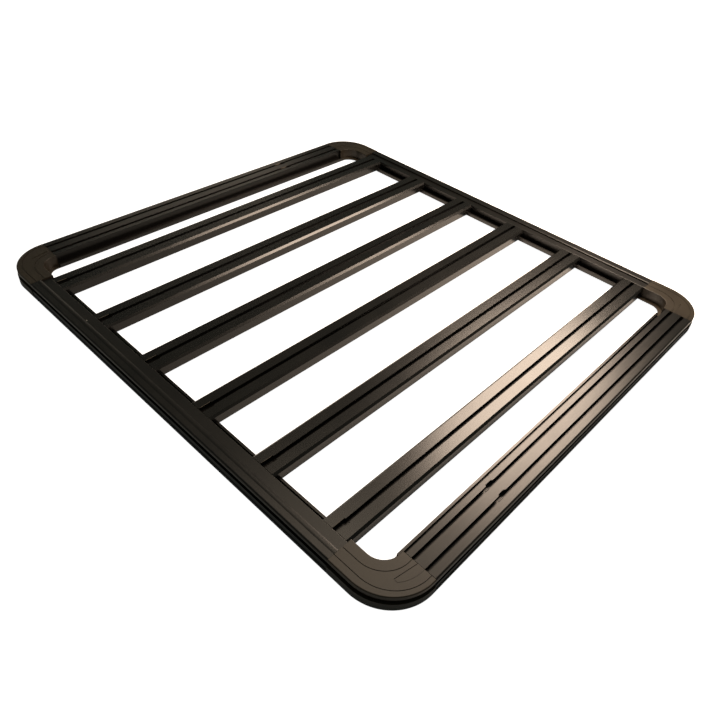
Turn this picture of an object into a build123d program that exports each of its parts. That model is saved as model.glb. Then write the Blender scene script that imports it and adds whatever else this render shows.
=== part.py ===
from build123d import *
import os

# Flat platform roof rack: two side rails, two end rails, four rounded corner
# castings and a row of cross slats. X runs along the slats, Y along the side
# rails, Z up. The origin is at the middle of the rack, on the level it rests on.

# Overall sizes
overall_width = 1236.0
overall_length = 1328.0

# Extruded rails, shared by the sides and the ends
rail_wall = 2.5
rail_step = 4.0
shoulder_radius = 4.0
inner_edge_radius = 1.0
ledge_top = 9.0
ledge_thickness = 2.5
ledge_reach = 17.5
lip_width = 5.2
lip_height = 7.0

# Outward channel along every rail
nose_inset = 1.5
foot_height = 7.0
foot_groove = 2.0
channel_drop = 14.0
channel_mouth = 11.0
channel_lip = 2.5
channel_cavity = 16.0
channel_depth = 8.0

# Side rails
side_body = 52.0
bead_start = 17.0
bead_width = 11.0
bead_rise = 0.8

# End rails
end_body = 69.0
outer_slot_offset = 24.0
inner_slot_offset = 53.5
end_slot_width = 8.0
end_slot_lip = 3.0
end_cavity_width = 16.0
end_cavity_depth = 8.0
entry_offset = 288.5
entry_length = 23.0
entry_depth = 3.0
entry_angle = 35.0

# Corner castings
corner_radius = 100.0
corner_end_straight = 5.0
corner_side_straight = 51.0
corner_drop = 0.5
corner_shoulder = 2.5
corner_overhang = 6.5
casting_wall = 4.0
casting_roof = 5.0
recess_depth = 6.0
relief_depth = 1.5
relief_width = 1.4
outer_relief_offset = 12.5
inner_relief_offset = 20.5
tongue_offset = 28.0
tongue_width = 14.0
tongue_reach = 50.0
tongue_tip_width = 7.0
tongue_tip_radius = 2.0
tongue_rise = 0.5
spigot_length = 45.0
spigot_clearance = 0.3
joint_gap = 0.5

# Cross slats
slat_count = 6
slat_width = 64.0
slat_height = 25.0
slat_bevel_width = 5.0
slat_bevel_drop = 4.5
slat_wall = 2.2
slat_to_corner = 1.0
slat_end_clearance = 0.3
lip_clearance = 0.3
slot_width = 9.0
slot_lip = 3.0
cavity_width = 17.0
cavity_depth = 8.0
notch_width = 14.0
notch_length = 30.0

# Bolts that hold the slats down to the ledges
bolt_diameter = 6.0
bolt_hole_clearance = 0.3
bolt_head_diameter = 11.0
bolt_head_height = 4.0
bolt_reach = 4.0
bolt_spread = 40.0

# Levels and lengths that follow from the sizes above
band_level = ledge_top + slat_height
rail_top = band_level + rail_step
outer_band_level = rail_top - bead_rise
ledge_bottom = ledge_top - ledge_thickness
lip_top = ledge_top + lip_height
groove_width = ledge_reach - lip_width
channel_level = rail_top - channel_drop
channel_back = nose_inset + channel_lip + channel_depth
corner_top = rail_top - corner_drop
corner_side_reach = corner_radius + corner_side_straight
corner_end_reach = corner_radius + corner_end_straight
side_span = overall_length - 2 * corner_side_reach
end_span = overall_width - 2 * corner_end_reach
side_rail_length = side_span - 2 * joint_gap
end_rail_length = end_span - 2 * joint_gap
left_face = -overall_width / 2
front_face = -overall_length / 2
side_wall = left_face + side_body
end_wall = front_face + end_body
slat_length = overall_width - 2 * side_body - 2 * slat_end_clearance
slat_pitch = (side_span - slat_width - 2 * slat_to_corner) / (slat_count - 1)
chamber_start = channel_back + rail_wall
end_chamber_top = rail_top - end_slot_lip - end_cavity_depth - rail_wall
lip_line = -side_wall - groove_width - lip_width / 2
bolt_line = -side_wall - groove_width / 2
bolt_hole_radius = bolt_diameter / 2 + bolt_hole_clearance


def nose_outline(face):
    """Points down the outer side of a rail, from the shoulder to the foot, with its channel open."""
    nose = face + nose_inset
    lip = nose + channel_lip
    back = face + channel_back
    mouth = channel_mouth / 2
    cavity = channel_cavity / 2
    return [
        (nose, channel_level + mouth),
        (lip, channel_level + mouth),
        (lip, channel_level + cavity),
        (back, channel_level + cavity),
        (back, channel_level - cavity),
        (lip, channel_level - cavity),
        (lip, channel_level - mouth),
        (nose, channel_level - mouth),
        (nose, foot_height + foot_groove),
        (nose + foot_groove, foot_height + foot_groove / 2),
        (nose, foot_height),
        (face, foot_height - nose_inset),
        (face, 0),
    ]


def ledge_outline(wall):
    """Points from the foot of the inner wall, round the lipped ledge, and back to the slat seat."""
    return [
        (wall, 0),
        (wall, ledge_bottom),
        (wall + ledge_reach, ledge_bottom),
        (wall + ledge_reach, lip_top),
        (wall + groove_width, lip_top),
        (wall + groove_width, ledge_top),
        (wall, ledge_top),
    ]


def bolt_places(slat_level):
    """The four bolt places of the slat whose middle lies at slat_level along Y."""
    sides = (-bolt_line, bolt_line)
    rows = (slat_level - bolt_spread / 2, slat_level + bolt_spread / 2)
    return [(x, y) for x in sides for y in rows]


slat_levels = [slat_pitch * (number - (slat_count - 1) / 2) for number in range(slat_count)]
all_bolt_places = [place for level in slat_levels for place in bolt_places(level)]

os.makedirs("parts", exist_ok=True)

# Left side rail: the outer channel, the beaded top, the lower inner band and the lipped ledge
with BuildPart() as left_side_rail:
    with BuildSketch(Plane.XZ) as side_section:
        with BuildLine():
            bead_end = left_face + bead_start + bead_width
            bead_middle = left_face + bead_start + bead_width / 2
            nose = Polyline(*nose_outline(left_face))
            shoulder = Polyline(
                nose @ 0,
                (left_face + nose_inset, outer_band_level),
                (left_face + bead_start, outer_band_level),
            )
            bead = ThreePointArc(shoulder @ 1, (bead_middle, rail_top), (bead_end, outer_band_level))
            Polyline(bead @ 1, (bead_end, band_level), (side_wall, band_level), (side_wall, ledge_top))
            ledge = Polyline(*reversed(ledge_outline(side_wall)))
            Line(nose @ 1, ledge @ 1)
        make_face()
        outer_corner = side_section.vertices().filter_by_position(
            Axis.Y, outer_band_level, outer_band_level).sort_by(Axis.X)[0]
        fillet(outer_corner, shoulder_radius)
        band_edge = side_section.vertices().filter_by_position(
            Axis.Y, band_level, band_level).sort_by(Axis.X)[-1]
        fillet(band_edge, inner_edge_radius)
        with BuildLine():
            Polyline(
                (left_face + chamber_start, rail_wall),
                (side_wall - rail_wall, rail_wall),
                (side_wall - rail_wall, band_level - rail_wall),
                (left_face + chamber_start, band_level - rail_wall),
                close=True,
            )
        make_face(mode=Mode.SUBTRACT)
    extrude(amount=side_rail_length / 2, both=True)
    with Locations(*[(x, y, ledge_top) for x, y in all_bolt_places if x < 0]):
        Hole(bolt_hole_radius, depth=ledge_thickness)

with BuildPart() as right_side_rail:
    mirror(left_side_rail.part, about=Plane.YZ)

# Front end rail: the outer channel, a flat top with two slots, and the lipped ledge
with BuildPart() as front_end_rail:
    with BuildSketch(Plane.YZ) as end_section:
        with BuildLine():
            top = Line((front_face + nose_inset, rail_top), (end_wall, rail_top))
            ledge = Polyline(*reversed(ledge_outline(end_wall)))
            nose = Polyline(*nose_outline(front_face))
            Line(top @ 0, nose @ 0)
            Line(top @ 1, ledge @ 0)
            Line(nose @ 1, ledge @ 1)
        make_face()
        top_corners = end_section.vertices().filter_by_position(Axis.Y, rail_top, rail_top).sort_by(Axis.X)
        fillet(top_corners[0], shoulder_radius)
        fillet(top_corners[-1], inner_edge_radius)
        slot_places = [front_face + outer_slot_offset, front_face + inner_slot_offset]
        with Locations(*[(place, rail_top) for place in slot_places]):
            Rectangle(end_slot_width, 2 * end_slot_lip, mode=Mode.SUBTRACT)
        with Locations(*[(place, rail_top - end_slot_lip - end_cavity_depth / 2) for place in slot_places]):
            Rectangle(end_cavity_width, end_cavity_depth, mode=Mode.SUBTRACT)
        with BuildLine():
            Polyline(
                (front_face + chamber_start, rail_wall),
                (end_wall - rail_wall, rail_wall),
                (end_wall - rail_wall, end_chamber_top),
                (front_face + chamber_start, end_chamber_top),
                close=True,
            )
        make_face(mode=Mode.SUBTRACT)
    extrude(amount=end_rail_length / 2, both=True)
    with BuildSketch(Plane.XY.offset(rail_top)):
        with Locations(*[(-entry_offset, place + end_slot_width / 2) for place in slot_places]):
            Trapezoid(entry_length, entry_depth, entry_angle, align=(Align.CENTER, Align.MIN))
    extrude(amount=-end_slot_lip, mode=Mode.SUBTRACT)

# Rear end rail: the same rail turned end for end
with BuildPart() as rear_end_rail:
    add(front_end_rail.part, rotation=(0, 0, 180))


def corner_plan(height, outer_inset, inner_inset, end_inset, outer_bend, inner_bend):
    """Plan of the front left corner at a height, drawn in from its outer side, inner side and ends."""
    west = left_face + outer_inset
    south = front_face + outer_inset
    east = left_face + corner_end_reach - end_inset
    north = front_face + corner_side_reach - end_inset
    inner_x = side_wall + corner_overhang - inner_inset
    inner_y = end_wall + corner_overhang - inner_inset
    with BuildSketch(Plane.XY.offset(height)) as plan:
        with BuildLine():
            FilletPolyline((west, north), (west, south), (east, south), radius=outer_bend)
            Line((east, south), (east, inner_y))
            FilletPolyline((east, inner_y), (inner_x, inner_y), (inner_x, north), radius=inner_bend)
            Line((inner_x, north), (west, north))
        make_face()
    return plan.sketch


def corner_layer(height, outer_inset):
    """Full plan of the corner casting at a height, with its outer side drawn in by an inset."""
    return corner_plan(height, outer_inset, 0, 0, corner_radius - outer_inset, wall_bend)


def corner_inner_cut(height, inner_inset):
    """Full plan of the corner casting at a height, with its inner side drawn in by an inset."""
    return corner_plan(height, 0, inner_inset, 0, corner_radius, wall_bend + inner_inset)


def corner_pocket(height):
    """Plan of the hollow under the corner casting."""
    inner_bend = wall_bend + casting_wall
    return corner_plan(height, pocket_inset, casting_wall, casting_wall, pocket_bend, inner_bend)


wall_bend = corner_end_reach - side_body - corner_overhang - 2 * casting_wall
ledge_beyond = ledge_reach - corner_overhang
pocket_inset = recess_depth + casting_wall
pocket_bend = corner_radius - pocket_inset - casting_wall
channel_low = channel_level - channel_mouth / 2
channel_high = channel_level + channel_mouth / 2
corner_east = left_face + corner_end_reach
corner_north = front_face + corner_side_reach

# Front left corner: a hollow casting with a recessed side, arc grooves, a tongue and two spigots
with BuildPart() as front_left_corner:
    extrude(corner_layer(0, 0), amount=channel_low)
    extrude(corner_layer(channel_low, recess_depth), amount=channel_high - channel_low)
    extrude(corner_layer(channel_high, nose_inset), amount=corner_top - channel_high)
    top_arcs = front_left_corner.faces().sort_by(Axis.Z)[-1].edges().filter_by(GeomType.CIRCLE)
    fillet(top_arcs.sort_by(SortBy.RADIUS)[-1], corner_shoulder)
    top_arcs = front_left_corner.faces().sort_by(Axis.Z)[-1].edges().filter_by(GeomType.CIRCLE)
    fillet(top_arcs.sort_by(SortBy.RADIUS)[0], inner_edge_radius)
    extrude(corner_pocket(0), amount=corner_top - casting_roof, mode=Mode.SUBTRACT)
    with BuildSketch(Plane.XY.offset(ledge_bottom)):
        add(corner_inner_cut(ledge_bottom, -ledge_beyond))
        add(corner_inner_cut(ledge_bottom, casting_wall / 2), mode=Mode.SUBTRACT)
    extrude(amount=ledge_thickness)
    with BuildSketch(Plane.XY.offset(corner_top)):
        with BuildLine() as outer_relief:
            FilletPolyline(
                (left_face + bead_start, corner_north),
                (left_face + bead_start, front_face + outer_relief_offset),
                (corner_east, front_face + outer_relief_offset),
                radius=corner_radius - bead_start,
            )
        trace(outer_relief.line, relief_width)
    extrude(amount=-relief_depth, mode=Mode.SUBTRACT)
    with BuildSketch(Plane.XY.offset(corner_top)):
        add(corner_inner_cut(corner_top, inner_relief_offset))
        add(corner_inner_cut(corner_top, inner_relief_offset + relief_width), mode=Mode.SUBTRACT)
    extrude(amount=-relief_depth, mode=Mode.SUBTRACT)
    with BuildSketch(Plane.XY.offset(corner_top)) as tongue:
        add(corner_layer(corner_top, tongue_offset))
        with BuildLine():
            tongue_run = tongue_reach - corner_end_straight
            tongue_bend = corner_radius - tongue_offset
            tongue_tip = front_face + corner_radius - (tongue_bend**2 - tongue_run**2) ** 0.5
            Polyline(
                (corner_east, front_face),
                (corner_east, front_face + tongue_offset + tongue_width),
                (corner_east - tongue_reach, tongue_tip + tongue_tip_width),
                (corner_east - tongue_reach, front_face),
                close=True,
            )
        make_face(mode=Mode.INTERSECT)
        fillet(tongue.vertices().sort_by(Axis.X)[:2], tongue_tip_radius)
    extrude(amount=tongue_rise)
    with BuildSketch(Plane.XY.offset(corner_top)):
        with BuildLine() as tongue_relief:
            Line(
                (corner_east, front_face + tongue_offset + tongue_width + relief_width / 2),
                (corner_east - tongue_reach, tongue_tip + tongue_tip_width + relief_width / 2),
            )
        trace(tongue_relief.line, relief_width)
    extrude(amount=-relief_depth, mode=Mode.SUBTRACT)
    with BuildSketch(Plane.XZ.offset(-corner_north)):
        with Locations((left_face + chamber_start + spigot_clearance, rail_wall + spigot_clearance)):
            side_spigot_width = side_body - rail_wall - chamber_start - 2 * spigot_clearance
            side_spigot_height = band_level - 2 * rail_wall - 2 * spigot_clearance
            Rectangle(side_spigot_width, side_spigot_height, align=(Align.MIN, Align.MIN))
    extrude(amount=-spigot_length)
    with BuildSketch(Plane.YZ.offset(corner_east)):
        with Locations((front_face + chamber_start + spigot_clearance, rail_wall + spigot_clearance)):
            end_spigot_width = end_body - rail_wall - chamber_start - 2 * spigot_clearance
            end_spigot_height = end_chamber_top - rail_wall - 2 * spigot_clearance
            Rectangle(end_spigot_width, end_spigot_height, align=(Align.MIN, Align.MIN))
    extrude(amount=spigot_length)

with BuildPart() as front_right_corner:
    mirror(front_left_corner.part, about=Plane.YZ)

with BuildPart() as rear_left_corner:
    mirror(front_left_corner.part, about=Plane.XZ)

with BuildPart() as rear_right_corner:
    mirror(rear_left_corner.part, about=Plane.YZ)

frame_pieces = {
    "left_side_rail": left_side_rail,
    "right_side_rail": right_side_rail,
    "front_end_rail": front_end_rail,
    "rear_end_rail": rear_end_rail,
    "front_left_corner": front_left_corner,
    "front_right_corner": front_right_corner,
    "rear_left_corner": rear_left_corner,
    "rear_right_corner": rear_right_corner,
}
for name, piece in frame_pieces.items():
    piece.part.label = name
    export_step(piece.part, f"parts/{name}.step")

# Cross slats: hollow extrusions with one slot on top, notched below to hook over the lips, and their bolts
web_width = cavity_width + 2 * slat_wall
under_cavity = slat_height - slot_lip - cavity_depth - 2 * slat_wall
bolt_shank_length = ledge_thickness + slat_wall + bolt_reach

for number, level in enumerate(slat_levels, start=1):
    seat = Plane(origin=(0, level, ledge_top), x_dir=(0, 1, 0), z_dir=(1, 0, 0))
    with BuildPart() as slat:
        with BuildSketch(seat):
            with BuildLine():
                Polyline(
                    (-slat_width / 2, 0),
                    (slat_width / 2, 0),
                    (slat_width / 2, slat_height - slat_bevel_drop),
                    (slat_width / 2 - slat_bevel_width, slat_height),
                    (slat_bevel_width - slat_width / 2, slat_height),
                    (-slat_width / 2, slat_height - slat_bevel_drop),
                    close=True,
                )
            make_face()
            offset(amount=-slat_wall, mode=Mode.SUBTRACT)
            Rectangle(web_width, slat_height, align=(Align.CENTER, Align.MIN))
            with Locations((0, slat_height)):
                Rectangle(slot_width, 2 * slot_lip, mode=Mode.SUBTRACT)
            with Locations((0, slat_height - slot_lip)):
                Rectangle(cavity_width, cavity_depth, align=(Align.CENTER, Align.MAX), mode=Mode.SUBTRACT)
            with Locations((0, slat_wall)):
                Rectangle(cavity_width, under_cavity, align=(Align.CENTER, Align.MIN), mode=Mode.SUBTRACT)
        extrude(amount=slat_length / 2, both=True)
        with BuildSketch(Plane.XY.offset(ledge_top)):
            with Locations((-lip_line, level), (lip_line, level)):
                Rectangle(lip_width + 2 * lip_clearance, slat_width + 2 * lip_clearance)
        extrude(amount=lip_height + lip_clearance, mode=Mode.SUBTRACT)
        with BuildSketch(Plane.XY.offset(band_level)):
            with Locations((-slat_length / 2, level)):
                Rectangle(notch_length, notch_width, align=(Align.MIN, Align.CENTER))
        extrude(amount=-slot_lip, mode=Mode.SUBTRACT)
        with Locations(*[(x, y, ledge_top + slat_wall) for x, y in bolt_places(level)]):
            Hole(bolt_hole_radius, depth=slat_wall)
    slat.part.label = f"slat_{number}"
    export_step(slat.part, f"parts/slat_{number}.step")

    with BuildPart() as slat_bolts:
        with BuildSketch(Plane.XY.offset(ledge_bottom)):
            with Locations(*bolt_places(level)):
                RegularPolygon(bolt_head_diameter / 2, 6)
        extrude(amount=-bolt_head_height)
        with BuildSketch(Plane.XY.offset(ledge_bottom)):
            with Locations(*bolt_places(level)):
                Circle(bolt_diameter / 2)
        extrude(amount=bolt_shank_length)
    slat_bolts.part.label = f"slat_{number}_bolts"
    export_step(slat_bolts.part, f"parts/slat_{number}_bolts.step")
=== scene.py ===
"""Looks of a flat platform roof rack: its coats and hardware, a studio and the camera."""

import logging
import math
from dataclasses import dataclass
from enum import Enum

import bmesh
import bpy
import numpy as np
from mathutils import Matrix, Vector


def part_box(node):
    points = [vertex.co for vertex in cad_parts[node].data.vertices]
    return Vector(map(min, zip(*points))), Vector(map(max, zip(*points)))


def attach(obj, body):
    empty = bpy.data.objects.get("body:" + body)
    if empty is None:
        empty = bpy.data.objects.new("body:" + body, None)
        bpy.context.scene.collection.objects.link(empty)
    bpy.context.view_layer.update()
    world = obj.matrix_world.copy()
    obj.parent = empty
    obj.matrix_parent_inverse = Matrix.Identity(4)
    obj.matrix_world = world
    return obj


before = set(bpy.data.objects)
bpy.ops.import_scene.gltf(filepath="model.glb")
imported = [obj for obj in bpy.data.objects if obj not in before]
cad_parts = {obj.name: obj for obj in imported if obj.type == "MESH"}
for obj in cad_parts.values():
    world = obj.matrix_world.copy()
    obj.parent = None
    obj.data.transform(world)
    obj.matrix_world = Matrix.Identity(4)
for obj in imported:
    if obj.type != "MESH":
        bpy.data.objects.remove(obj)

log = logging.getLogger("roof_rack")
MM = 0.001
# Points nearer than this, in metres, are one point
WELD = 1e-7
WHITE = (1.0, 1.0, 1.0, 1.0)


class Run(Enum):
    """Which way an extrusion runs, and so its die lines."""

    ALONG_X = "x"
    ALONG_Y = "y"


class Turn(Enum):
    """How a piece drawn on the front end rail is set: on the rear one it is turned end for end."""

    FRONT = 1.0
    REAR = -1.0


class Face(Enum):
    """The outline of a lamp's face."""

    OVAL = "ELLIPSE"
    OBLONG = "RECTANGLE"


def linear(colour: str) -> tuple[float, float, float, float]:
    """Turns an sRGB hex colour to linear light.

    Args:
        colour: Six hex digits after a hash.

    Returns:
        Red, green and blue in linear light, and an alpha of one.
    """
    levels = [int(colour[i:i + 2], 16) / 255.0 for i in (1, 3, 5)]
    red, green, blue = [v / 12.92 if v <= 0.04045 else ((v + 0.055) / 1.055) ** 2.4
                        for v in levels]
    return red, green, blue, 1.0


def add_node(tree: bpy.types.NodeTree, kind: str, sockets: dict | None = None,
             **settings: object) -> bpy.types.Node:
    """Adds one node to a tree.

    Args:
        tree: The tree that gets the node.
        kind: The node's type name.
        sockets: Input name or number, with a plain value or the output that feeds it.
        settings: Properties of the node itself.

    Returns:
        The new node.
    """
    node = tree.nodes.new(kind)
    for name, value in settings.items():
        setattr(node, name, value)
    for name, value in (sockets or {}).items():
        if isinstance(value, bpy.types.NodeSocket):
            tree.links.new(value, node.inputs[name])
        else:
            node.inputs[name].default_value = value
    return node


def new_material(name: str) -> tuple[bpy.types.Material, bpy.types.NodeTree]:
    """Makes an empty node material.

    Args:
        name: The material's name.

    Returns:
        The material and its cleared node tree.
    """
    material = bpy.data.materials.new(name)
    material.use_nodes = True
    material.node_tree.nodes.clear()
    return material, material.node_tree


@dataclass(frozen=True)
class PowderCoat:
    """Satin powder coat, sprayed on aluminium and baked.

    To the eye it is a black plastic skin with a soft mirror in it, broken by a
    fine orange peel, by the die lines of the extrusion and by settled dust.
    """

    name: str
    coat: str
    dust: str
    dust_share: float
    rough_low: float
    rough_high: float
    peel_mm: float
    peel_depth_mm: float
    line_mm: float
    line_depth_mm: float
    run: Run = Run.ALONG_X
    line_length_mm: float = 160.0
    patch_mm: float = 70.0
    dust_slope: tuple[float, float] = (0.3, 1.0)
    dust_patches: tuple[float, float] = (0.3, 0.75)
    sheen_patches: tuple[float, float] = (0.6, 1.4)

    def make(self) -> bpy.types.Material:
        """Builds the node material.

        Returns:
            The coat.
        """
        material, tree = new_material(self.name)
        place = add_node(tree, "ShaderNodeTexCoord").outputs["Object"]
        across, along = 1.0 / (self.line_mm * MM), 1.0 / (self.line_length_mm * MM)
        stretch = (along, across, across) if self.run is Run.ALONG_X else (across, along, across)
        drawn = add_node(tree, "ShaderNodeMapping", {"Vector": place, "Scale": stretch})
        lines = add_node(tree, "ShaderNodeTexNoise",
                         {"Vector": drawn.outputs[0], "Scale": 1.0, "Detail": 2.0})
        peel = add_node(tree, "ShaderNodeTexNoise",
                        {"Vector": place, "Scale": 1.0 / (self.peel_mm * MM), "Detail": 1.5})
        # Dust and handling change the sheen in wide patches
        patch = add_node(tree, "ShaderNodeTexNoise",
                         {"Vector": place, "Scale": 1.0 / (self.patch_mm * MM), "Detail": 4.0})
        # Dust settles on what looks upwards, and thins out between the patches
        facing = add_node(tree, "ShaderNodeNewGeometry")
        upward = add_node(tree, "ShaderNodeSeparateXYZ", {0: facing.outputs["Normal"]})
        settled = add_node(tree, "ShaderNodeMapRange",
                           {"Value": upward.outputs["Z"],
                            "From Min": self.dust_slope[0], "From Max": self.dust_slope[1]})
        veil = add_node(tree, "ShaderNodeMapRange",
                        {"Value": patch.outputs[0], "From Min": self.dust_patches[0],
                         "From Max": self.dust_patches[1], "To Max": self.dust_share})
        share = add_node(tree, "ShaderNodeMath", {0: settled.outputs[0], 1: veil.outputs[0]},
                         operation="MULTIPLY")
        colour = add_node(tree, "ShaderNodeMix",
                          {0: share.outputs[0], 6: linear(self.coat), 7: linear(self.dust)},
                          data_type="RGBA")
        mixed = add_node(tree, "ShaderNodeMath", {0: peel.outputs[0], 1: patch.outputs[0]},
                         operation="ADD")
        rough = add_node(tree, "ShaderNodeMapRange",
                         {"Value": mixed.outputs[0],
                          "From Min": self.sheen_patches[0], "From Max": self.sheen_patches[1],
                          "To Min": self.rough_low, "To Max": self.rough_high})
        scored = add_node(tree, "ShaderNodeBump",
                          {"Height": lines.outputs[0], "Strength": 1.0,
                           "Distance": self.line_depth_mm * MM})
        skin = add_node(tree, "ShaderNodeBump",
                        {"Height": peel.outputs[0], "Strength": 1.0,
                         "Distance": self.peel_depth_mm * MM, "Normal": scored.outputs[0]})
        shader = add_node(tree, "ShaderNodeBsdfPrincipled",
                          {"Base Color": colour.outputs[2], "Roughness": rough.outputs[0],
                           "Normal": skin.outputs[0]})
        add_node(tree, "ShaderNodeOutputMaterial", {"Surface": shader.outputs[0]})
        return material


@dataclass(frozen=True)
class PaleMetal:
    """Pale metal with no coat on it: zinc plate on steel, or aluminium laid bare.

    To the eye it is a light, cool mirror with a dull bloom in patches a few millimetres across.
    """

    name: str
    metal: str
    bloom: str
    patch_mm: float
    rough_low: float
    rough_high: float
    bloom_patches: tuple[float, float] = (0.35, 0.7)
    dent_mm: float = 0.03

    def make(self) -> bpy.types.Material:
        """Builds the node material.

        Returns:
            The metal.
        """
        material, tree = new_material(self.name)
        place = add_node(tree, "ShaderNodeTexCoord").outputs["Object"]
        patch = add_node(tree, "ShaderNodeTexNoise",
                         {"Vector": place, "Scale": 1.0 / (self.patch_mm * MM), "Detail": 3.0})
        dull = add_node(tree, "ShaderNodeMapRange",
                        {"Value": patch.outputs[0],
                         "From Min": self.bloom_patches[0], "From Max": self.bloom_patches[1]})
        colour = add_node(tree, "ShaderNodeMix",
                          {0: dull.outputs[0], 6: linear(self.metal), 7: linear(self.bloom)},
                          data_type="RGBA")
        rough = add_node(tree, "ShaderNodeMapRange",
                         {"Value": dull.outputs[0],
                          "To Min": self.rough_low, "To Max": self.rough_high})
        dent = add_node(tree, "ShaderNodeBump",
                        {"Height": patch.outputs[0], "Strength": 1.0,
                         "Distance": self.dent_mm * MM})
        shader = add_node(tree, "ShaderNodeBsdfPrincipled",
                          {"Base Color": colour.outputs[2], "Roughness": rough.outputs[0],
                           "Normal": dent.outputs[0], "Metallic": 1.0})
        add_node(tree, "ShaderNodeOutputMaterial", {"Surface": shader.outputs[0]})
        return material


def coat_node(node: str, material: bpy.types.Material) -> None:
    """Puts a finish on a CAD node's material slots.

    Args:
        node: The node's name.
        material: The finish.
    """
    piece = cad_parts[node]
    if not piece.material_slots:
        piece.data.materials.append(material)
    for holder in piece.material_slots:
        holder.material = material
    log.info("coated %s with %s", node, material.name)


def add_surface(name: str, points: np.ndarray, closed_u: bool, closed_v: bool,
                material: bpy.types.Material) -> None:
    """Makes a piece that rides on the rack from one or more grids of points.

    Args:
        name: The piece's name.
        points: Grids by rows by columns by three, in metres.
        closed_u: Whether the last row joins the first.
        closed_v: Whether the last column joins the first.
        material: The piece's finish.
    """
    grids, rows, columns = points.shape[:3]
    index = np.arange(grids * rows * columns).reshape(grids, rows, columns)
    first = index if closed_u else index[:, :-1]
    second = np.roll(index, -1, 1) if closed_u else index[:, 1:]
    if closed_v:
        quads = np.stack([first, np.roll(first, -1, 2), np.roll(second, -1, 2), second], -1)
    else:
        quads = np.stack([first[..., :-1], first[..., 1:], second[..., 1:], second[..., :-1]], -1)
    mesh = bpy.data.meshes.new(name)
    mesh.from_pydata(points.reshape(-1, 3), [], quads.reshape(-1, 4))
    # Points that meet at a pole become one, so that the surface is closed there
    welded = bmesh.new()
    welded.from_mesh(mesh)
    bmesh.ops.remove_doubles(welded, verts=welded.verts, dist=WELD)
    welded.to_mesh(mesh)
    welded.free()
    mesh.polygons.foreach_set("use_smooth", np.ones(len(mesh.polygons), bool))
    mesh.materials.append(material)
    mesh.update()
    piece = bpy.data.objects.new(name, mesh)
    bpy.context.scene.collection.objects.link(piece)
    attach(piece, "root")
    log.info("built %s, %d faces", name, len(mesh.polygons))


@dataclass
class SideRails:
    """The two side rails, which run along Y, with a chip in the coat of the left one."""

    nodes: tuple[str, ...] = ("left_side_rail", "right_side_rail")
    chip_place_mm: tuple[float, float, float] = (-586.6, 306.0, 34.0)
    chip_reach_mm: tuple[float, float] = (1.4, 2.2)
    chip_rise_mm: float = 0.25
    chip_sink_mm: float = 0.02
    chip_waves: float = 3.0
    chip_wave_share: float = 0.15
    chip_spokes: int = 24
    chip_rings: int = 7

    def chip_grid(self) -> np.ndarray:
        """Works out the chip: a shallow dome on a flat foot.

        The height falls with the square of the reach. The rim is an oval with a sine wave
        round it, just below the band's top.

        Returns:
            One grid of points, in metres.
        """
        angle, reach = np.meshgrid(
            np.linspace(0.0, 2.0 * math.pi, self.chip_spokes, endpoint=False),
            np.linspace(0.0, 1.0, self.chip_rings), indexing="ij")
        wave = 1.0 + self.chip_wave_share * np.sin(self.chip_waves * angle)
        x = self.chip_place_mm[0] + self.chip_reach_mm[0] * reach * wave * np.cos(angle)
        y = self.chip_place_mm[1] + self.chip_reach_mm[1] * reach * wave * np.sin(angle)
        z = self.chip_place_mm[2] + self.chip_rise_mm * (1.0 - reach**2) - self.chip_sink_mm
        dome = np.stack([x, y, z], -1)
        foot = np.broadcast_to(np.append(self.chip_place_mm[:2], z.min()), dome[:, :1].shape)
        return np.concatenate([dome, foot], axis=1)[None] * MM

    def build(self, bare: bpy.types.Material) -> None:
        """Builds the chip."""
        add_surface("left_rail_chip", self.chip_grid(), True, False, bare)

    def dress(self, coat: bpy.types.Material) -> None:
        """Coats both rails."""
        for node in self.nodes:
            coat_node(node, coat)


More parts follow.
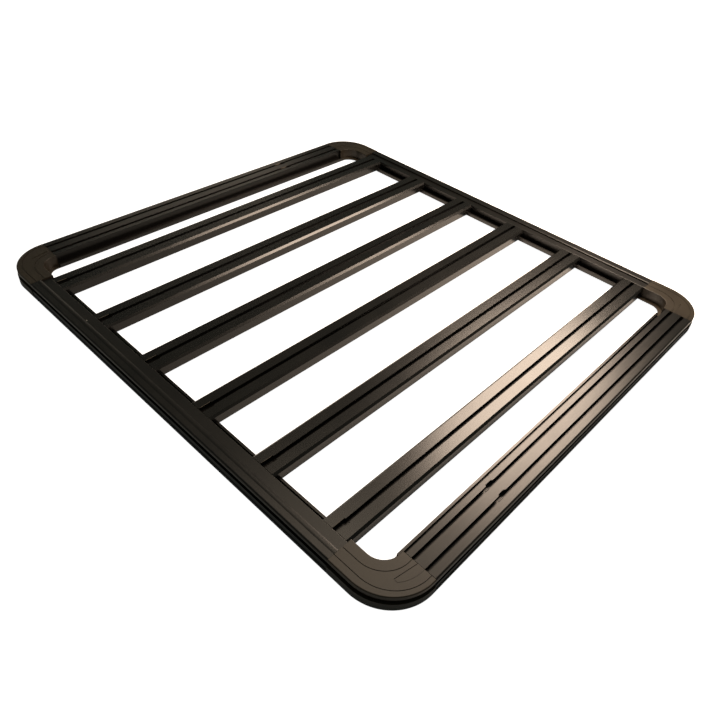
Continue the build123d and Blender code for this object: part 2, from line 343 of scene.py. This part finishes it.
@dataclass
class EndRails:
    """The two end rails, with the slot lips staked where the slots are entered."""

    nodes: tuple[str, ...] = ("front_end_rail", "rear_end_rail")
    slot_lines_mm: tuple[float, ...] = (-644.0, -614.5)
    front_stake_mm: float = -303.0
    rear_stake_mm: float = -275.0
    stake_length_mm: float = 24.0
    stake_reach_mm: float = 2.4
    stake_root_mm: float = 0.4
    stake_sink_mm: float = 0.02
    stake_flatness: float = 1.6
    stake_powers: tuple[float, float] = (0.3, 0.5)
    stake_rows: int = 41
    stake_columns: int = 17
    lip_top_mm: float = 38.0
    lip_depth_mm: float = 3.0

    def stake_grid(self, line_mm: float, middle_mm: float, turn: Turn) -> np.ndarray:
        """Works out one staked length of lip.

        Along the lip the reach into the slot swells as a flattened raised cosine.
        Across it the section is half a superellipse from the lip's top to its underside,
        closed by a flat back inside the lip. Each end is drawn in to a point there.

        Args:
            line_mm: The slot's outer edge along Y.
            middle_mm: The middle of the staked length along X.
            turn: Which end rail it is for.

        Returns:
            A grid of points, in metres.
        """
        u, v = np.meshgrid(np.linspace(-1.0, 1.0, self.stake_rows),
                           np.linspace(-1.0, 1.0, self.stake_columns), indexing="ij")
        swell = np.clip(self.stake_flatness * np.cos(u * math.pi / 2) ** 2, 0.0, 1.0)
        angle = v * math.pi / 2
        across, upright = self.stake_powers
        full = self.stake_reach_mm * swell + self.stake_root_mm
        out = np.abs(np.cos(angle)) ** across * full - self.stake_root_mm
        rise = np.sign(angle) * np.abs(np.sin(angle)) ** upright
        half = self.lip_depth_mm / 2
        x = middle_mm + u * self.stake_length_mm / 2
        y = line_mm + out
        z = self.lip_top_mm - half + rise * (half - self.stake_sink_mm)
        lip = np.stack([x * turn.value, y * turn.value, z], -1) * MM
        ends = np.broadcast_to(lip[[0, -1]].mean(axis=1, keepdims=True), lip[[0, -1]].shape)
        return np.concatenate([ends[:1], lip, ends[1:]])

    def build(self, coat: bpy.types.Material, grey_and_highlight: bpy.types.Material) -> None:
        """Builds the staked lips of both rails.

        Args:
            coat: The finish of the front ones.
            grey_and_highlight: The finish of the rear ones, a lighter grey.
        """
        stakes = ((Turn.FRONT, self.front_stake_mm, coat), (Turn.REAR, self.rear_stake_mm, grey_and_highlight))
        for turn, middle, finish in stakes:
            grids = np.stack([self.stake_grid(line, middle, turn) for line in self.slot_lines_mm])
            name = f"{turn.name.lower()}_staked_lips"
            add_surface(name, grids, False, True, finish)

    def dress(self, coat: bpy.types.Material) -> None:
        """Coats both rails."""
        for node in self.nodes:
            coat_node(node, coat)


@dataclass
class CornerCastings:
    """The four corner castings."""

    nodes: tuple[str, ...] = ("front_left_corner", "front_right_corner",
                              "rear_left_corner", "rear_right_corner")

    def dress(self, coat: bpy.types.Material) -> None:
        """Coats the castings."""
        for node in self.nodes:
            coat_node(node, coat)


@dataclass
class CrossSlats:
    """The six cross slats, with painted highlights on their notch edges, and bolts and washers
    under their ends.
    """

    count: int = 6
    notch_start_mm: float = -565.0
    notch_end_mm: float = -536.2
    notch_side_mm: float = 7.0
    notch_top_mm: float = 34.0
    notch_edge_mm: float = 0.55
    notch_edge_proud_mm: float = 0.1
    notch_edge_power: float = 0.3
    notch_edge_rows: int = 13
    notch_edge_columns: int = 12
    washer_outer_mm: float = 6.0
    washer_inner_mm: float = 3.2
    washer_depth_mm: float = 1.2
    washer_edge_mm: float = 0.25
    ledge_mm: float = 6.5
    bolt_line_mm: float = 559.85
    bolt_spread_mm: float = 40.0
    washer_steps: int = 32

    def washer_grids(self, middle_mm: float) -> np.ndarray:
        """Works out the four washers of a slat.

        A washer is a closed outline, a flat ring with eased outer edges, turned about its bolt.

        Args:
            middle_mm: The slat's middle along Y.

        Returns:
            Four grids of points, in metres.
        """
        top, low, ease = self.ledge_mm, self.ledge_mm - self.washer_depth_mm, self.washer_edge_mm
        radius = np.array([self.washer_inner_mm, self.washer_outer_mm, self.washer_outer_mm,
                           self.washer_outer_mm - ease, self.washer_inner_mm])
        height = np.array([top, top, low + ease, low, low])
        angle = np.linspace(0.0, 2.0 * math.pi, self.washer_steps, endpoint=False)[:, None]
        sides = np.array([-1.0, -1.0, 1.0, 1.0])[:, None, None] * self.bolt_line_mm
        rows = middle_mm + np.array([-0.5, 0.5, -0.5, 0.5])[:, None, None] * self.bolt_spread_mm
        x = sides + radius * np.cos(angle)
        y = rows + radius * np.sin(angle)
        return np.stack([x, y, np.broadcast_to(height, x.shape)], -1) * MM

    def notch_edge_grid(self, middle_mm: float) -> np.ndarray:
        """Works out the painted highlight along the far edge of a slat's notch.

        It is a thin rod along the edge, whose radius follows a power of half a sine wave, so
        that it is drawn in to a point at both ends.

        Args:
            middle_mm: The slat's middle along Y.

        Returns:
            One grid of points, in metres.
        """
        along, angle = np.meshgrid(
            np.linspace(0.0, 1.0, self.notch_edge_rows),
            np.linspace(0.0, 2.0 * math.pi, self.notch_edge_columns, endpoint=False), indexing="ij")
        fullness = np.clip(np.sin(along * math.pi), 0.0, 1.0) ** self.notch_edge_power
        radius = self.notch_edge_mm * fullness
        x = self.notch_start_mm + along * (self.notch_end_mm - self.notch_start_mm)
        y = middle_mm + self.notch_side_mm + radius * np.cos(angle)
        line = self.notch_top_mm - self.notch_edge_mm + self.notch_edge_proud_mm
        z = line + radius * np.sin(angle)
        return np.stack([x, y, z], -1)[None] * MM

    def build(self, plate: bpy.types.Material, grey_and_highlight: bpy.types.Material) -> None:
        """Builds the washers and the painted highlight on the notch edge of every slat.

        Args:
            plate: The washers' finish.
            grey_and_highlight: The lighter grey finish that paints a highlight on the notch edges.
        """
        for number in range(1, self.count + 1):
            low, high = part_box(f"slat_{number}")
            middle = (low.y + high.y) / 2 / MM
            edge = self.notch_edge_grid(middle)
            washers = self.washer_grids(middle)
            # A lighter grey rod on each notch's far edge is a painted highlight
            add_surface(f"slat_{number}_notch_edge", edge, False, True, grey_and_highlight)
            add_surface(f"slat_{number}_washers", washers, True, True, plate)

    def dress(self, coat: bpy.types.Material, plate: bpy.types.Material) -> None:
        """Coats the slats and plates their bolts.

        Args:
            coat: The slats' finish.
            plate: The bolts' finish.
        """
        for number in range(1, self.count + 1):
            coat_node(f"slat_{number}", coat)
            coat_node(f"slat_{number}_bolts", plate)


@dataclass(frozen=True)
class Lamp:
    """A soft lamp: its place, aim, width and height in metres, its brightness and its tint."""

    name: str
    place: tuple[float, float, float]
    aim: tuple[float, float, float]
    width: float
    height: float
    brightness: float
    tint: tuple[float, float, float]
    face: Face = Face.OBLONG

    def build(self) -> None:
        """Hangs the lamp. Its power is the brightness times pi times the area of its face."""
        light = bpy.data.lights.new(self.name, "AREA")
        light.shape, light.color = self.face.value, self.tint
        light.size, light.size_y = self.width, self.height
        share = math.pi / 4 if self.face is Face.OVAL else 1.0
        light.energy = self.brightness * math.pi * self.width * self.height * share
        lamp = bpy.data.objects.new(self.name, light)
        bpy.context.scene.collection.objects.link(lamp)
        lamp.location = self.place
        sight = Vector(self.aim) - Vector(self.place)
        lamp.rotation_euler = sight.to_track_quat("-Z", "Y").to_euler()
        lamp.visible_camera = False
        log.info("hung %s", self.name)


@dataclass
class Studio:
    """The pale floor, the lamps and the camera."""

    floor_reach: float = 14.0
    floor_drop: float = 0.0003
    floor_glow: float = 1.0
    mirrored_glow: float = 0.05
    floor_colour: str = "#eeeeee"
    room_light: float = 0.10
    room_tint: tuple[float, float, float, float] = (0.78, 0.87, 0.74, 1.0)
    camera_place: tuple[float, float, float] = (-1.0465, -0.9078, 0.9966)
    camera_right: tuple[float, float, float] = (0.69097, -0.7195, 0.06986)
    camera_down: tuple[float, float, float] = (-0.4429, -0.49774, -0.74572)
    camera_forward: tuple[float, float, float] = (0.57131, 0.48433, -0.66259)
    focal_pixels: float = 653.31
    frame_pixels: float = 720.0
    sensor_mm: float = 36.0
    sight_reach: float = 100.0
    lamps: tuple[Lamp, ...] = (
        Lamp("key_lamp", (0.70, -0.22, 0.80), (0.0, -0.2, 0.03),
             0.588, 0.772, 17.5, (1.0, 0.79, 0.62), Face.OVAL),
        Lamp("overhead_softbox", (0.42, 0.30, 2.6), (0.42, 0.30, 0.0),
             1.0, 1.5, 2.6, (1.0, 0.83, 0.64)),
        Lamp("far_wall_glow", (1.5, 3.2, 0.78), (0.0, 0.6, 0.03),
             1.6, 0.9, 1.8, (1.0, 0.83, 0.65)),
    )

    def lay_floor(self) -> None:
        """Lays a flat pale floor, white to the camera and with a faint glow in reflections."""
        line = np.linspace(-self.floor_reach, self.floor_reach, 3)
        u, v = np.meshgrid(line, line, indexing="ij")
        points = np.stack([u, v, np.full_like(u, -self.floor_drop)], -1).reshape(-1, 3)
        corner = np.array([0, 1, 3, 4])
        faces = np.stack([corner, corner + 3, corner + 4, corner + 1], -1)
        mesh = bpy.data.meshes.new("floor")
        mesh.from_pydata(points, [], faces)
        material, tree = new_material("pale_floor_paint")
        ray = add_node(tree, "ShaderNodeLightPath")
        direct = add_node(tree, "ShaderNodeMath",
                          {0: ray.outputs["Is Camera Ray"], 1: self.floor_glow},
                          operation="MULTIPLY")
        mirrored = add_node(
            tree, "ShaderNodeMath",
            {0: ray.outputs["Is Glossy Ray"], 1: ray.outputs["Is Transmission Ray"]},
            operation="MAXIMUM")
        strength = add_node(tree, "ShaderNodeMath",
                            {0: mirrored.outputs[0], 1: self.mirrored_glow, 2: direct.outputs[0]},
                            operation="MULTIPLY_ADD")
        glow = add_node(tree, "ShaderNodeEmission", {"Strength": strength.outputs[0]})
        paint = add_node(tree, "ShaderNodeBsdfDiffuse", {"Color": linear(self.floor_colour)})
        both = add_node(tree, "ShaderNodeAddShader", {0: glow.outputs[0], 1: paint.outputs[0]})
        add_node(tree, "ShaderNodeOutputMaterial", {"Surface": both.outputs[0]})
        mesh.materials.append(material)
        floor = bpy.data.objects.new("floor", mesh)
        bpy.context.scene.collection.objects.link(floor)

    def light_room(self) -> None:
        """Gives the room a dim even light that looks white to the camera, and hangs the lamps."""
        world = bpy.data.worlds.new("room")
        world.use_nodes = True
        tree = world.node_tree
        tree.nodes.clear()
        ray = add_node(tree, "ShaderNodeLightPath")
        dim = add_node(tree, "ShaderNodeBackground",
                       {"Color": self.room_tint, "Strength": self.room_light})
        white = add_node(tree, "ShaderNodeBackground", {"Color": WHITE, "Strength": 1.0})
        both = add_node(tree, "ShaderNodeMixShader",
                        {0: ray.outputs["Is Camera Ray"], 1: dim.outputs[0], 2: white.outputs[0]})
        add_node(tree, "ShaderNodeOutputWorld", {"Surface": both.outputs[0]})
        bpy.context.scene.world = world
        for lamp in self.lamps:
            lamp.build()

    def set_camera(self) -> None:
        """Sets the camera from its place, its axes and its focal length in pixels of the frame."""
        data = bpy.data.cameras.new("camera")
        data.sensor_width = self.sensor_mm
        data.lens = self.sensor_mm * self.focal_pixels / self.frame_pixels
        data.clip_end = self.sight_reach
        camera = bpy.data.objects.new("camera", data)
        bpy.context.scene.collection.objects.link(camera)
        right, down = Vector(self.camera_right), Vector(self.camera_down)
        turn = Matrix((right, -down, -Vector(self.camera_forward))).transposed()
        camera.matrix_world = Matrix.Translation(self.camera_place) @ turn.to_4x4()
        bpy.context.scene.camera = camera

    def build(self) -> None:
        """Builds the floor, the light and the camera."""
        self.lay_floor()
        self.light_room()
        self.set_camera()
        bpy.context.scene.view_settings.view_transform = "Standard"


# Die lines are finer than 2 mm on a real extrusion, and are drawn that coarse so that they show

# Satin black with a soft mirror drawn out along the rail
SIDE_COAT = PowderCoat("satin_powder_coat_on_side_extrusion", "#0b0a09", "#332e27", 0.08,
                       0.31, 0.37, 3.0, 0.012, 2.0, 0.004, Run.ALONG_Y)
# The same satin black, a little dustier
END_COAT = PowderCoat("satin_powder_coat_on_end_extrusion", "#0f0e0d", "#332e27", 0.12,
                      0.29, 0.34, 3.0, 0.012, 2.0, 0.004, Run.ALONG_X)
# The same satin black with the clearest mirror of the three
SLAT_COAT = PowderCoat("satin_powder_coat_on_slat_extrusion", "#0e0d0c", "#332e27", 0.08,
                       0.25, 0.30, 3.0, 0.012, 2.0, 0.004, Run.ALONG_X)
# Brownish and duller, because the casting's coarse skin breaks the mirror and holds dust
CORNER_COAT = PowderCoat("matt_powder_coat_on_sand_casting", "#2b251d", "#4a4234", 0.30,
                         0.33, 0.40, 2.2, 0.03, 12.0, 0.0)
# Pale hardware under the ledges
BOLT_PLATE = PaleMetal("zinc_plate_on_pressed_steel", "#c9c6bd", "#8f8d86", 4.0, 0.28, 0.45)
# Lighter grey: on the rear staked lips, and as a painted highlight on the slats' notch edges
LIGHTER_GREY_AND_HIGHLIGHT = PowderCoat("lighter_grey_coat_and_painted_notch_highlight", "#5a544a", "#6b6459", 0.30,
                         0.38, 0.46, 1.5, 0.01, 2.0, 0.002, Run.ALONG_X)
# A bright speck of bare metal
BARE_CHIP = PaleMetal("bare_aluminium_in_a_chipped_coat", "#e6e2da", "#c4c0b8", 1.5, 0.45, 0.60)


def main() -> None:
    """Builds the rack's pieces in order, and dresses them."""
    logging.basicConfig(level=logging.INFO, format="%(message)s")
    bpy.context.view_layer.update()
    Studio().build()
    plate = BOLT_PLATE.make()
    end_coat = END_COAT.make()
    grey_and_highlight = LIGHTER_GREY_AND_HIGHLIGHT.make()
    sides = SideRails()
    sides.build(BARE_CHIP.make())
    sides.dress(SIDE_COAT.make())
    ends = EndRails()
    ends.build(end_coat, grey_and_highlight)
    ends.dress(end_coat)
    CornerCastings().dress(CORNER_COAT.make())
    slats = CrossSlats()
    slats.build(plate, grey_and_highlight)
    slats.dress(SLAT_COAT.make(), plate)


if __name__ == "__main__":
    main()
